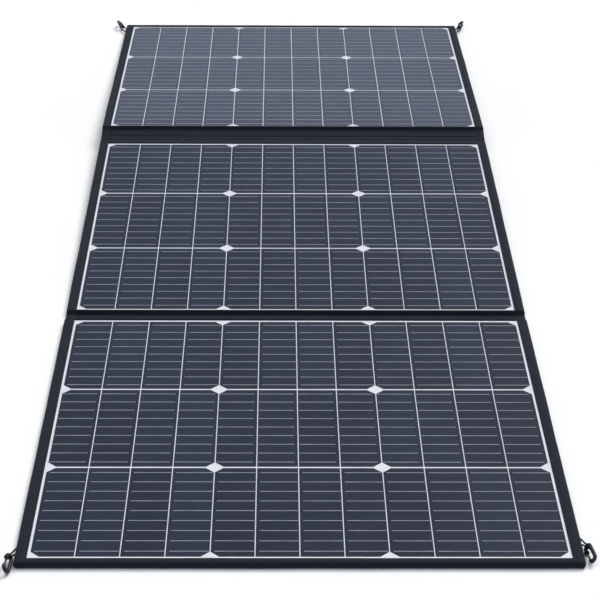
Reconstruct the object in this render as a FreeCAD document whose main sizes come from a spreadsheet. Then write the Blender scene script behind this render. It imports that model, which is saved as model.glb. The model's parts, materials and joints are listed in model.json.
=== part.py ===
import FreeCAD, Part
import math
import os
import re

import Sketcher
from FreeCAD import Placement, Rotation, Vector

# A three-panel folding solar blanket, lying open with its cells up.
#
# Frame: millimetres, +Z up. The origin is on the ground, half a panel beyond the middle panel's
# near crease, so it lies under the middle of that panel.
# +X runs along the folds and +Y runs from the near panel, over the middle one, to the far one.
#
# Each panel has a frame of its own: its origin is the middle of its cell field, on its back,
# +Y points away from its inner fold, and z counts up through its layers. The middle panel has a
# fold on both sides, and its far edge is lifted by the fold there. The near panel lies flat and
# turned about. The far panel leans on its pouch.

DIMENSIONS = {
    # cells: pseudo-square wafers, each cut into strips, in a grid
    "cell_rows": 3,
    "cell_columns": 3,
    "strips_per_cell": 4,
    "strip_width": 41.5,
    "strip_gap": 1.5,
    "cell_height": 166,
    "row_gap": 3,
    "cell_chamfer": 8.5,
    # laminate and its fabric border
    "margin_side": 3,
    "margin_end": 4,
    "border_side": 12,
    "border_end": 9,
    "border_fold": 5,
    "border_far_fold": 13,
    "crease_setback": 2.5,
    "binding_thickness": 1.2,
    # layers, from the back to the front
    "cover_thickness": 1,
    "foam_thickness": 2.5,
    "board_thickness": 1.5,
    "backsheet_thickness": 0.5,
    "cell_thickness": 0.25,
    "film_thickness": 0.4,
    "border_thickness": 2,
    # terminal cap, in a window of the foam
    "cap_length": 46,
    "cap_width": 22,
    "cap_clearance": 1,
    "cap_from_fold": 30,
    # the two folds: the distance between each one's creases
    "near_fold_width": 16.5,
    "far_fold_width": 29,
    "far_tilt": 2.2,
    "middle_tilt": 1.3,
    "strip_end_gap": 0.4,
    "ply_thickness": 0.6,
    "facing_thickness": 1.2,
    "lead_width": 10,
    "lead_spacing": 16,
    # corner loops and hooks
    "cord_diameter": 1.8,
    "loop_root_depth": 0.3,
    "loop_leg_height": 3.5,
    "near_loop_reach": 4.1,
    "near_loop_root": 6,
    "near_loop_legs_apart": 12,
    "far_loop_reach": 8,
    "far_loop_root": 9,
    "far_loop_legs_apart": 16,
    "bight_radius": 3.1,
    "hook_length": 28,
    "hook_width": 11,
    "hook_bar_diameter": 3.8,
    "hook_height": 5.8,
    "hook_stub": 2,
    "near_hook_roll": 62,
    "near_hook_pitch": 0,
    "far_hook_roll": 40,
    "far_hook_pitch": 0,
    "near_left_neck": 13,
    "near_right_neck": 31,
    "far_left_neck": 8,
    "far_right_neck": 6,
    "near_left_splay": 3,
    "near_right_splay": 8,
    "far_left_splay": 13.5,
    "far_right_splay": 7.5,
    "fork_gap": 2.2,
    "cheek_thickness": 0.5,
    "cheek_overlap": 1,
    "knuckle_diameter": 2.5,
    "knuckle_gap": 0.4,
    "knuckle_width": 1.9,
    "gate_diameter": 1.8,
    "gate_length": 12,
    "gate_end_gap": 0.35,
    "pin_diameter": 0.9,
    "pin_play": 0.05,
    # pouch under the far panel
    "pouch_length": 300,
    "pouch_depth": 190,
    "pouch_from_crease": 10,
    "pouch_wall": 0.8,
    "zip_length": 250,
    "zip_opening": 6,
    "zip_bottom": 3,
    "zip_tape_thickness": 0.6,
    "coil_width": 3,
    "coil_thickness": 1.6,
    "slider_length": 10,
    "slider_width": 6.5,
    "slider_thickness": 1,
    "slider_inset": 4,
    "slider_gap": 0.3,
    "puller_length": 22,
    "puller_width": 5,
    "puller_thickness": 1.4,
    # junction box inside the pouch
    "box_length": 120,
    "box_depth": 64,
    "box_height": 10,
    "box_wall": 2,
    "box_corner": 6,
    "box_from_crease": 24,
    "gasket_thickness": 0.6,
    "gasket_width": 1.2,
    "lid_thickness": 1.8,
    "screw_diameter": 2.5,
    "screw_head_diameter": 4.5,
    "screw_head_height": 0.8,
    "screw_inset": 7,
    "screw_depth": 6,
    "boss_diameter": 6,
    "terminal_length": 60,
    "terminal_depth": 14,
    "terminal_height": 3,
    "terminal_from_middle": 8,
    "diode_count": 3,
    "diode_length": 9,
    "diode_diameter": 4,
    "socket_flange": 9,
    "socket_flange_thickness": 1.2,
    "socket_floor": 2,
    "socket_diameter": 7,
    "socket_bore": 4.6,
    "socket_length": 9,
    "socket_count": 2,
    "socket_spacing": 18,
}


doc = FreeCAD.newDocument("SolarBlanket")
sheet = doc.addObject("Spreadsheet::Sheet", "Dimensions")
for row, (alias, value) in enumerate(DIMENSIONS.items(), start=1):
    sheet.set(f"A{row}", alias)
    sheet.set(f"B{row}", str(value))
    sheet.setAlias(f"B{row}", alias)
doc.recompute()

# Lengths that several sub-parts share, as expressions over the sheet's aliases.
FIELD_X = "(cell_columns * strips_per_cell * (strip_width + strip_gap) - strip_gap)"
FIELD_Y = "(cell_rows * (cell_height + row_gap) - row_gap)"
LAMINATE_X = f"({FIELD_X} + 2 * margin_side)"
LAMINATE_Y = f"({FIELD_Y} + 2 * margin_end)"
HALF_WIDTH = f"({LAMINATE_X} / 2 + border_side)"
INNER_HALF_WIDTH = f"({HALF_WIDTH} - binding_thickness)"
CREASE = f"({LAMINATE_Y} / 2 + border_fold)"
FOLD_EDGE = f"({CREASE} - crease_setback)"
FAR_SIDE_CREASE = f"({LAMINATE_Y} / 2 + border_far_fold)"
FAR_SIDE_EDGE = f"({FAR_SIDE_CREASE} - crease_setback)"
OUTER_EDGE = f"({LAMINATE_Y} / 2 + border_end)"
FOAM_Z = "cover_thickness"
BOARD_Z = f"({FOAM_Z} + foam_thickness)"
BACKSHEET_Z = f"({BOARD_Z} + board_thickness)"
CELL_Z = f"({BACKSHEET_Z} + backsheet_thickness)"
FILM_Z = f"({CELL_Z} + cell_thickness)"
PANEL_THICKNESS = f"({BACKSHEET_Z} + border_thickness)"

X_AXIS = Vector(1, 0, 0)
Y_AXIS = Vector(0, 1, 0)
Z_AXIS = Vector(0, 0, 1)
WORLD = Placement()
nodes = []


def over_sheet(text):
    """An expression whose words are the sheet's aliases, as FreeCAD reads it."""
    return re.sub(r"[a-z][a-z_]+", lambda word: "Dimensions." + word.group(0), str(text))


def value(text):
    """The value of an expression over the sheet's aliases."""
    names = {alias: float(sheet.get(alias)) for alias in re.findall(r"[a-z][a-z_]+", str(text))}
    words = re.sub(r"[a-z][a-z_]+", lambda word: repr(names[word.group(0)]), str(text))
    return float(FreeCAD.Units.Quantity(words).Value)


def bind(obj, **sizes):
    """Binds an object's sizes to expressions over the sheet's aliases."""
    for prop, expression in sizes.items():
        obj.setExpression(prop, over_sheet(expression))
    return obj


def node(obj, name):
    """Makes an object one of the assembly's sub-parts."""
    obj.Label = name
    nodes.append(obj)
    return obj


def box(name, low, high, frame=WORLD):
    """A box between two corners in a frame. Each coordinate is an expression."""
    solid = doc.addObject("Part::Box", name)
    length, width, height = (f"({b}) - ({a})" for a, b in zip(low, high))
    bind(solid, Length=length, Width=width, Height=height)
    solid.Placement = frame.multiply(Placement(Vector(*(value(a) for a in low)), Rotation()))
    return solid


def half_ring(name, centre, turn, ring_radius, bar_radius, frame=WORLD):
    """Half a round ring, from its own +X by way of +Y to -X, turned and put at a centre."""
    solid = doc.addObject("Part::Torus", name)
    bind(solid, Radius1=ring_radius, Radius2=bar_radius)
    solid.Angle3 = 180
    solid.Placement = frame.multiply(Placement(centre, turn))
    return solid


def group(name, solids):
    """Several separate solids as one sub-part."""
    compound = doc.addObject("Part::Compound", name)
    compound.Links = solids
    return compound


def fuse(name, solids):
    joined = doc.addObject("Part::MultiFuse", name)
    joined.Shapes = solids
    joined.Refine = True
    return joined


def cut(name, base, tool):
    left = doc.addObject("Part::Cut", name)
    left.Base = base
    left.Tool = tool
    return left


def origin_plane(body, role):
    return next(feature for feature in body.Origin.OriginFeatures if feature.Role == role)


def rounded_rectangle(sketch, length, width, radius, prefix):
    """Adds a rectangle with round corners about the sketch's origin, bound to the sheet."""
    half_x = value(length) / 2
    half_y = value(width) / 2
    corner = value(radius)
    first = sketch.GeometryCount
    ends = [
        (Vector(-half_x + corner, -half_y), Vector(half_x - corner, -half_y)),
        (Vector(half_x, -half_y + corner), Vector(half_x, half_y - corner)),
        (Vector(half_x - corner, half_y), Vector(-half_x + corner, half_y)),
        (Vector(-half_x, half_y - corner), Vector(-half_x, -half_y + corner)),
    ]
    for a, b in ends:
        sketch.addGeometry(Part.LineSegment(a, b), False)
    centres = [(1, -1), (1, 1), (-1, 1), (-1, -1)]
    for number, (x_side, y_side) in enumerate(centres):
        middle = Vector(x_side * (half_x - corner), y_side * (half_y - corner))
        start = math.radians(-90 + 90 * number)
        circle = Part.Circle(middle, Z_AXIS, corner)
        sketch.addGeometry(Part.ArcOfCircle(circle, start, start + math.pi / 2), False)
    START, END = 1, 2
    for number in range(4):
        line = first + number
        arc = first + 4 + number
        after = first + (number + 1) % 4
        sketch.addConstraint(Sketcher.Constraint("Tangent", line, END, arc, START))
        sketch.addConstraint(Sketcher.Constraint("Tangent", arc, END, after, START))
        direction = "Horizontal" if number % 2 == 0 else "Vertical"
        sketch.addConstraint(Sketcher.Constraint(direction, line))
    for number in range(3):
        sketch.addConstraint(Sketcher.Constraint("Equal", first + 4, first + 5 + number))
    ORIGIN = (-1, 1)
    sketch.addConstraint(Sketcher.Constraint("Symmetric", first, START, first + 2, START, *ORIGIN))
    named = {
        "Length": Sketcher.Constraint("DistanceX", first + 3, START, first + 1, START, 2 * half_x),
        "Width": Sketcher.Constraint("DistanceY", first, START, first + 2, START, 2 * half_y),
        "Radius": Sketcher.Constraint("Radius", first + 4, corner),
    }
    for suffix, size in (("Length", length), ("Width", width), ("Radius", radius)):
        index = sketch.addConstraint(named[suffix])
        sketch.renameConstraint(index, prefix + suffix)
        sketch.setExpression("Constraints." + prefix + suffix, over_sheet(size))


def rounded_plate(name, length, width, radius, height, hollow_by=None):
    """A plate with round corners, standing on its own XY plane, or a ring if it is hollowed."""
    body = doc.addObject("PartDesign::Body", name)
    sketch = body.newObject("Sketcher::SketchObject", name + "_outline")
    sketch.AttachmentSupport = [(origin_plane(body, "XY_Plane"), "")]
    sketch.MapMode = "FlatFace"
    rounded_rectangle(sketch, length, width, radius, "Outer")
    if hollow_by:
        inner = [f"({size}) - 2 * ({hollow_by})" for size in (length, width)]
        rounded_rectangle(sketch, *inner, f"({radius}) - ({hollow_by})", "Inner")
    pad = body.newObject("PartDesign::Pad", name + "_pad")
    pad.Profile = sketch
    bind(pad, Length=height)
    return body


# Where the panels and the folds lie.

crease = value(CREASE)
crease_to_end = value(CREASE) + value(OUTER_EDGE)
tilt = math.radians(value("far_tilt"))
far_crease_height = crease_to_end * math.sin(tilt)
ramp = Rotation(X_AXIS, value("middle_tilt"))
lean = Rotation(X_AXIS, -math.degrees(tilt))
turned_about = Rotation(Z_AXIS, 180)
near_hinge = Vector(0, -crease, 0)
far_hinge = near_hinge + ramp.multVec(Vector(0, crease + value(FAR_SIDE_CREASE), 0))
far_strip_rise = math.asin((far_crease_height - far_hinge.z) / value("far_fold_width"))
climb = Rotation(X_AXIS, math.degrees(far_strip_rise))
far_crease = far_hinge + climb.multVec(Vector(0, value("far_fold_width"), 0))

middle_frame = Placement(near_hinge + ramp.multVec(Vector(0, crease, 0)), ramp)
near_frame = Placement(Vector(0, -2 * crease - value("near_fold_width"), 0), turned_about)
far_frame = Placement(far_crease + lean.multVec(Vector(0, crease, 0)), lean)
near_strip_frame = Placement(near_hinge, turned_about)
far_strip_frame = Placement(far_hinge, climb)


# The panels.


def layer(name, y_low, y_high, z_low, thickness, half_width, frame):
    low = (f"-{half_width}", y_low, z_low)
    high = (half_width, y_high, f"{z_low} + {thickness}")
    return box(name, low, high, frame)


def cell_strip(left_chamfer, right_chamfer):
    """One cut strip of a wafer, its lower left corner at the origin."""
    width = value("strip_width")
    height = value("cell_height")
    chamfer = value("cell_chamfer")
    left = chamfer if left_chamfer else 0
    right = chamfer if right_chamfer else 0
    outline = [(left, 0), (width - right, 0), (width, right), (width, height - right)]
    outline += [(width - right, height), (left, height), (0, height - left), (0, left)]
    corners = [place for number, place in enumerate(outline) if place != outline[number - 1]]
    points = [Vector(x, y, 0) for x, y in corners]
    wire = Part.makePolygon(points + [points[0]])
    return Part.Face(wire).extrude(Z_AXIS * value("cell_thickness"))


def cells(name, frame):
    """All the cell strips of one panel. The strips at a wafer's sides keep its cut-off corners."""
    strips = int(value("strips_per_cell"))
    pitch_x = value("strip_width + strip_gap")
    pitch_y = value("cell_height + row_gap")
    solids = []
    for row in range(int(value("cell_rows"))):
        for column in range(int(value("cell_columns")) * strips):
            place = column % strips
            strip = cell_strip(place == 0, place == strips - 1)
            x = -value(FIELD_X) / 2 + column * pitch_x
            y = -value(FIELD_Y) / 2 + row * pitch_y
            solids.append(strip.translated(Vector(x, y, value(CELL_Z))))
    feature = doc.addObject("Part::Feature", name)
    feature.Shape = Part.makeCompound(solids)
    feature.Placement = frame
    return feature


def border(name, y_low, y_high, frame):
    """The fabric on the front: two bars along the sides and one at each end of the laminate."""
    half_x = f"{LAMINATE_X} / 2"
    half_y = f"{LAMINATE_Y} / 2"
    spans = {
        "left": (f"-{INNER_HALF_WIDTH}", f"-{half_x}", y_low, y_high),
        "right": (half_x, INNER_HALF_WIDTH, y_low, y_high),
        "low": (f"-{half_x}", half_x, y_low, f"-{half_y}"),
        "high": (f"-{half_x}", half_x, half_y, y_high),
    }
    bars = []
    for side, (x_low, x_high, low, high) in spans.items():
        corners = ((x_low, low, BACKSHEET_Z), (x_high, high, PANEL_THICKNESS))
        bars.append(box(f"{name}_{side}", *corners, frame))
    return group(name, bars)


def binding(name, y_low, y_high, thickness, frame, end_too):
    """Tape sewn round the edge, along both sides and, on an end panel, along the end."""
    spans = {
        "left": (f"-{HALF_WIDTH}", f"-{INNER_HALF_WIDTH}", y_low, y_high),
        "right": (INNER_HALF_WIDTH, HALF_WIDTH, y_low, y_high),
    }
    if end_too:
        inside = f"{y_high} - binding_thickness"
        spans["end"] = (f"-{INNER_HALF_WIDTH}", INNER_HALF_WIDTH, inside, y_high)
    bars = []
    for side, (x_low, x_high, low, high) in spans.items():
        bars.append(box(f"{name}_{side}", (x_low, low, "0"), (x_high, high, thickness), frame))
    return group(name, bars)


def terminal_cap_box(name, frame, room):
    """The cap on the laminate's terminals, or the window around it if room is given."""
    half_length = f"(cap_length / 2 + {room})"
    y_low = f"cap_from_fold - {FOLD_EDGE} - {room}"
    y_high = f"cap_from_fold - {FOLD_EDGE} + cap_width + {room}"
    return box(name, (f"-{half_length}", y_low, FOAM_Z), (half_length, y_high, BOARD_Z), frame)


def panel(name, frame, is_end_panel):
    low = f"-{FOLD_EDGE}"
    high = OUTER_EDGE if is_end_panel else FAR_SIDE_EDGE
    inside = f"{OUTER_EDGE} - binding_thickness" if is_end_panel else FAR_SIDE_EDGE
    wide = INNER_HALF_WIDTH
    laminate = (f"-{LAMINATE_Y} / 2", f"{LAMINATE_Y} / 2")
    sheet_half = f"({LAMINATE_X} / 2)"
    cover = layer(f"{name}_back_cover", low, inside, "0", "cover_thickness", wide, frame)
    node(cover, f"{name}_back_cover")
    foam = layer(f"{name}_foam", low, inside, FOAM_Z, "foam_thickness", wide, frame)
    window = terminal_cap_box(f"{name}_foam_window", frame, "cap_clearance")
    node(cut(f"{name}_foam_pad", foam, window), f"{name}_foam_pad")
    node(terminal_cap_box(f"{name}_terminal_cap", frame, "0"), f"{name}_terminal_cap")
    board = layer(f"{name}_backing_board", low, inside, BOARD_Z, "board_thickness", wide, frame)
    node(board, f"{name}_backing_board")
    backsheet = layer(
        f"{name}_backsheet", *laminate, BACKSHEET_Z, "backsheet_thickness", sheet_half, frame
    )
    node(backsheet, f"{name}_backsheet")
    node(cells(f"{name}_cells", frame), f"{name}_cells")
    film = layer(f"{name}_front_film", *laminate, FILM_Z, "film_thickness", sheet_half, frame)
    node(film, f"{name}_front_film")
    node(border(f"{name}_border", low, inside, frame), f"{name}_border")
    tape = binding(f"{name}_binding", low, high, PANEL_THICKNESS, frame, is_end_panel)
    node(tape, f"{name}_binding")


panel("near", near_frame, True)
panel("middle", middle_frame, False)
panel("far", far_frame, True)


# The folds: two plies of fabric with the flat leads between them.


def fold_strip(name, width, frame):
    low = "strip_end_gap"
    high = f"{width} - strip_end_gap"
    thickness = "(ply_thickness + facing_thickness)"
    ply = layer(f"{name}_backing_ply", low, high, "0", "ply_thickness", INNER_HALF_WIDTH, frame)
    node(ply, f"{name}_backing_ply")
    leads = []
    channels = []
    for side in ("-", ""):
        x_low = f"{side}lead_spacing / 2 - lead_width / 2"
        x_high = f"{side}lead_spacing / 2 + lead_width / 2"
        corners = ((x_low, low, "ply_thickness"), (x_high, high, "2 * ply_thickness"))
        leads.append(box(f"{name}_lead", *corners, frame))
        channels.append(box(f"{name}_channel", *corners, frame))
    node(group(f"{name}_leads", leads), f"{name}_leads")
    facing = layer(
        f"{name}_facing_sheet", low, high, "ply_thickness", "facing_thickness", INNER_HALF_WIDTH, frame
    )
    node(cut(f"{name}_facing", facing, group(f"{name}_channels", channels)), f"{name}_facing")
    node(binding(f"{name}_binding", low, high, thickness, frame, False), f"{name}_binding")


fold_strip("near_fold", "near_fold_width", near_strip_frame)
fold_strip("far_fold", "far_fold_width", far_strip_frame)


# The corners: a cord loop sewn into the side seam, and a small snap hook on it.
#
# A hook's frame has its origin in the middle of its end bar, +Y along the hook and +Z across its
# opening. The hook lies beside or beyond the panel's edge, rolled on its side.


def rod(name, start, end, diameter, frame=WORLD):
    """A round bar between two points."""
    run = end - start
    bar = doc.addObject("Part::Cylinder", name)
    bind(bar, Radius=f"({diameter}) / 2")
    bar.Height = run.Length
    bar.Placement = frame.multiply(Placement(start, Rotation(Z_AXIS, run)))
    return bar


def cord_loop(name, roots, frame):
    """Two legs from the seam, and a half turn round the hook's end bar in the hook's YZ plane."""
    radius = value("bight_radius")
    ends = [frame.multVec(Vector(0, 0, side * radius)) for side in (1, -1)]
    on_edge = Rotation(Y_AXIS, -90)
    solids = [
        half_ring(f"{name}_bight", Vector(), on_edge, "bight_radius", "cord_diameter / 2", frame)
    ]
    for root, end in zip(roots, ends):
        solids.append(rod(f"{name}_leg", root, end, "cord_diameter"))
        ball = doc.addObject("Part::Sphere", f"{name}_turn")
        bind(ball, Radius="cord_diameter / 2")
        ball.Placement = Placement(end, Rotation(Z_AXIS, end - root))
        solids.append(ball)
    return fuse(name, solids)


bow_radius = value("(hook_width - hook_bar_diameter) / 2")
tip_bow_y = value("hook_length - hook_bar_diameter") - bow_radius
stub_end_y = bow_radius + value("hook_stub")
pivot_y = stub_end_y + value("knuckle_diameter / 2 + knuckle_gap")
gate_end_y = pivot_y + value("gate_length")
pivot = Vector(bow_radius, pivot_y, 0)


def upright_bar(name, centre, diameter, height, frame):
    """A round bar across the hook's plane, centred on it."""
    start = centre - Z_AXIS * (value(height) / 2)
    return rod(name, start, start + Z_AXIS * value(height), diameter, frame)


def hook_body(name, frame):
    """An oval of round bar, open where the gate closes it, with two cheeks for the gate's pin."""
    rings = ("(hook_width - hook_bar_diameter) / 2", "hook_bar_diameter / 2")
    about = Rotation(Z_AXIS, 180)
    spine = (Vector(-bow_radius, bow_radius, 0), Vector(-bow_radius, tip_bow_y, 0))
    root = (Vector(bow_radius, bow_radius, 0), Vector(bow_radius, stub_end_y, 0))
    nose_y = gate_end_y + value("gate_end_gap")
    nose = (Vector(bow_radius, nose_y, 0), Vector(bow_radius, tip_bow_y, 0))
    solids = [
        half_ring(f"{name}_end_bow", Vector(0, bow_radius, 0), about, *rings, frame),
        half_ring(f"{name}_tip_bow", Vector(0, tip_bow_y, 0), Rotation(), *rings, frame),
    ]
    for part_name, ends in (("spine", spine), ("root", root), ("nose", nose)):
        solids.append(rod(f"{name}_{part_name}", *ends, "hook_bar_diameter", frame))
    centre_x = rings[0]
    x_low = f"{centre_x} - hook_bar_diameter / 2"
    x_high = f"{centre_x} + hook_bar_diameter / 2"
    block_y = f"{centre_x} + hook_stub"
    cheek_end_y = f"{block_y} + knuckle_diameter + knuckle_gap"
    outer_z = "fork_gap / 2 + cheek_thickness"
    block = ((x_low, f"{block_y} - cheek_overlap", f"-({outer_z})"), (x_high, block_y, outer_z))
    solids.append(box(f"{name}_block", *block, frame))
    upper = ((x_low, block_y, "fork_gap / 2"), (x_high, cheek_end_y, outer_z))
    lower = ((x_low, block_y, f"-({outer_z})"), (x_high, cheek_end_y, "-fork_gap / 2"))
    solids.append(box(f"{name}_upper_cheek", *upper, frame))
    solids.append(box(f"{name}_lower_cheek", *lower, frame))
    blank = fuse(f"{name}_blank", solids)
    bore = upright_bar(f"{name}_bore", pivot, "pin_diameter", "2 * knuckle_diameter + fork_gap", frame)
    return cut(name, blank, bore)


def hook_gate(name, frame):
    """A bar with a knuckle that turns on the pin between the hook's cheeks."""
    start = pivot + Y_AXIS * value("knuckle_diameter / 4")
    bar = rod(f"{name}_bar", start, pivot + Y_AXIS * value("gate_length"), "gate_diameter", frame)
    knuckle = upright_bar(f"{name}_knuckle", pivot, "knuckle_diameter", "knuckle_width", frame)
    bore = upright_bar(
        f"{name}_bore", pivot, "pin_diameter + 2 * pin_play", "2 * knuckle_width", frame
    )
    return cut(name, fuse(f"{name}_blank", [bar, knuckle]), bore)


def corner(name, end, panel_frame, x_side, heading):
    """A loop and its hook. x_side is the panel's own side, and heading turns the hook from +Y."""
    neck_from_end = value(f"{name}_neck")
    half_width = value(HALF_WIDTH)
    outer_edge = value(OUTER_EDGE)
    root_x = x_side * (half_width - value("loop_root_depth"))
    roots = []
    for number in range(2):
        back = value(f"{end}_loop_root") + number * value(f"{end}_loop_legs_apart")
        root_y = outer_edge - neck_from_end - back
        roots.append(panel_frame.multVec(Vector(root_x, root_y, value("loop_leg_height"))))
    neck_x = x_side * (half_width + value(f"{end}_loop_reach"))
    neck = panel_frame.multVec(Vector(neck_x, outer_edge - neck_from_end, 0))
    neck.z = value("hook_height")
    pitch = Rotation(X_AXIS, value(f"{end}_hook_pitch"))
    roll = Rotation(Y_AXIS, -x_side * value(f"{end}_hook_roll"))
    frame = Placement(neck, Rotation(Z_AXIS, heading).multiply(pitch).multiply(roll))
    node(cord_loop(f"{name}_loop", roots, frame), f"{name}_loop")
    node(hook_body(f"{name}_hook", frame), f"{name}_hook")
    node(hook_gate(f"{name}_gate", frame), f"{name}_gate")
    pin_height = "fork_gap + 2 * cheek_thickness"
    pin = upright_bar(f"{name}_pin", pivot, "pin_diameter", pin_height, frame)
    node(pin, f"{name}_gate_pin")
    axis = frame.Rotation.multVec(Z_AXIS)
    print(f"{name}: swing at {list(neck)}, gate at {list(frame.multVec(pivot))} about {list(axis)}")


corner("near_left", "near", near_frame, 1, 180 - value("near_left_splay"))
corner("near_right", "near", near_frame, -1, 180 + value("near_right_splay"))
corner("far_left", "far", far_frame, -1, value("far_left_splay"))
corner("far_right", "far", far_frame, 1, -value("far_right_splay"))


# The pouch under the far panel, near its fold. Its top follows the leaning panel and its bottom
# lies flat on the ground, so the pouch props the panel up.

tilt_end_y = far_crease.y + crease_to_end * math.cos(tilt)
pouch_start = far_crease.y + value("pouch_from_crease")
pouch_y = (pouch_start, pouch_start + value("pouch_depth"))


def panel_back_height(y):
    return (tilt_end_y - y) * math.tan(tilt)


def wedge(name, half_length, y_low, y_high, z_low, over):
    """A block whose top follows the panel's back, standing over it by a given height."""
    solid = doc.addObject("Part::Wedge", name)
    bind(solid, Xmin=f"-({half_length})", Xmax=half_length)
    bind(solid, X2min=f"-({half_length})", X2max=half_length)
    solid.Ymin = y_low
    solid.Ymax = y_high
    bind(solid, Zmin=z_low, Z2min=z_low)
    solid.Zmax = panel_back_height(y_low) + over
    solid.Z2max = panel_back_height(y_high) + over
    return solid


wall = value("pouch_wall")
pouch_block = wedge("pouch_block", "pouch_length / 2", *pouch_y, "0", 0)
inside_y = (pouch_y[0] + wall, pouch_y[1] - wall)
pouch_inside = wedge("pouch_inside", "pouch_length / 2 - pouch_wall", *inside_y, "pouch_wall", wall)
pouch_open = cut("pouch_open", pouch_block, pouch_inside)


def zip_bar(name, z_low, z_high, outside, thickness, half_length="zip_length / 2"):
    """A bar along the zip, from z_low to z_high, its outer face a given way outside the wall."""
    bar = doc.addObject("Part::Box", name)
    bind(bar, Length=f"2 * ({half_length})", Width=thickness, Height=f"({z_high}) - ({z_low})")
    y_low = pouch_y[1] + value(outside) - value(thickness)
    bar.Placement = Placement(Vector(-value(half_length), y_low, value(z_low)), Rotation())
    return bar


zip_top = "(zip_bottom + zip_opening)"
zip_middle = "(zip_bottom + zip_opening / 2)"
coil_low = f"({zip_middle} - coil_width / 2)"
coil_high = f"({zip_middle} + coil_width / 2)"
tape_outside = "-(pouch_wall - zip_tape_thickness) / 2"
coil_outside = "(coil_thickness - pouch_wall) / 2"
slot = zip_bar("zip_slot", "zip_bottom", zip_top, "pouch_wall", "3 * pouch_wall")
node(cut("pouch_shell", pouch_open, slot), "pouch_shell")
zip_parts = [
    zip_bar("zip_lower_tape", "zip_bottom", coil_low, tape_outside, "zip_tape_thickness"),
    zip_bar("zip_coil", coil_low, coil_high, coil_outside, "coil_thickness"),
    zip_bar("zip_upper_tape", coil_high, zip_top, tape_outside, "zip_tape_thickness"),
]
node(group("pouch_zip", zip_parts), "pouch_zip")


def slider_plate(name, outside, thickness, x_low, length, width):
    """A flat piece of the slider, centred on the coil's height."""
    plate = doc.addObject("Part::Box", name)
    bind(plate, Length=length, Width=thickness, Height=width)
    y_low = pouch_y[1] + value(outside) - value(thickness)
    z_low = value(f"{zip_middle} - ({width}) / 2")
    plate.Placement = Placement(Vector(value(x_low), y_low, z_low), Rotation())
    return plate


slider_x = "(slider_inset - zip_length / 2)"
front_outside = f"({coil_outside} + slider_gap + slider_thickness)"
back_outside = f"({coil_outside} - coil_thickness - slider_gap)"
puller_outside = f"({front_outside} + puller_thickness)"
plate_size = ("slider_thickness", slider_x, "slider_length", "slider_width")
puller_size = ("puller_thickness", slider_x, "puller_length", "puller_width")
slider_solids = [
    slider_plate("slider_front", front_outside, *plate_size),
    slider_plate("slider_back", back_outside, *plate_size),
    slider_plate("slider_puller", puller_outside, *puller_size),
]
node(group("zip_slider", slider_solids), "zip_slider")


# The junction box, on the panel's back inside the pouch. It is drawn standing on its floor and
# then hung upside down: its own +Z points away from the panel.

box_centre_y = value("box_from_crease + box_depth / 2") - crease
hung = Rotation(X_AXIS, 180)
box_frame = far_frame.multiply(Placement(Vector(0, box_centre_y, 0), hung))


def in_box(solid, z=0):
    solid.Placement = box_frame.multiply(Placement(Vector(0, 0, z), Rotation()))
    return solid


screw_places = [
    (
        x_side * value("box_length / 2 - screw_inset"),
        y_side * value("box_depth / 2 - screw_inset"),
    )
    for x_side in (-1, 1)
    for y_side in (-1, 1)
]


def at_screws(name, diameter, z_low, height):
    """Four round bars along the box's screw axes."""
    bars = []
    for x, y in screw_places:
        start = Vector(x, y, value(z_low))
        bars.append(rod(name, start, start + Z_AXIS * value(height), diameter, box_frame))
    return bars


box_size = ("box_length", "box_depth", "box_corner")
inner_size = ("box_length - 2 * box_wall", "box_depth - 2 * box_wall", "box_corner - box_wall")
outer_block = in_box(rounded_plate("junction_box_block", *box_size, "box_height"))
inner_block = in_box(rounded_plate("junction_box_inside", *inner_size, "box_height"), value("box_wall"))
tub = cut("junction_box_tub", outer_block, inner_block)
boss_height = "box_height - box_wall / 2"
bosses = at_screws("junction_box_boss", "boss_diameter", "box_wall / 2", boss_height)
tub_with_bosses = fuse("junction_box_tub_with_bosses", [tub, *bosses])
shank_length = "lid_thickness + gasket_thickness + screw_depth"
lid_z = "(box_height + gasket_thickness)"
shank_z = f"({lid_z} + lid_thickness - ({shank_length}))"
drills = group("base_drills", at_screws("base_drill", "screw_diameter", shank_z, shank_length))
node(cut("junction_box_base", tub_with_bosses, drills), "junction_box_base")
gasket = rounded_plate("junction_box_gasket", *box_size, "gasket_thickness", "gasket_width")
node(in_box(gasket, value("box_height")), "junction_box_gasket")
lid_blank = in_box(rounded_plate("lid_blank", *box_size, "lid_thickness"), value(lid_z))
lid_drills = group("lid_drills", at_screws("lid_drill", "screw_diameter", shank_z, shank_length))
node(cut("junction_box_lid", lid_blank, lid_drills), "junction_box_lid")
shanks = at_screws("screw_shank", "screw_diameter", shank_z, shank_length)
heads = at_screws("screw_head", "screw_head_diameter", f"{lid_z} + lid_thickness", "screw_head_height")
screws = [fuse("lid_screw", [shank, head]) for shank, head in zip(shanks, heads)]
node(group("junction_box_screws", screws), "junction_box_screws")

terminal_y = "terminal_from_middle"
block_low = ("-terminal_length / 2", f"{terminal_y} - terminal_depth / 2", "box_wall")
block_high = ("terminal_length / 2", f"{terminal_y} + terminal_depth / 2", "box_wall + terminal_height")
terminal_solids = [box("terminal_base", block_low, block_high, box_frame)]
diode_pitch = value("terminal_length") / value("diode_count")
for number in range(int(value("diode_count"))):
    middle_x = (number - (value("diode_count") - 1) / 2) * diode_pitch
    half_run = value("diode_length") / 2
    height = value("box_wall + terminal_height")
    start = Vector(middle_x - half_run, value(terminal_y), height)
    end = start + X_AXIS * value("diode_length")
    terminal_solids.append(rod("diode", start, end, "diode_diameter", box_frame))
node(fuse("diode_terminal_block", terminal_solids), "diode_terminal_block")


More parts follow.
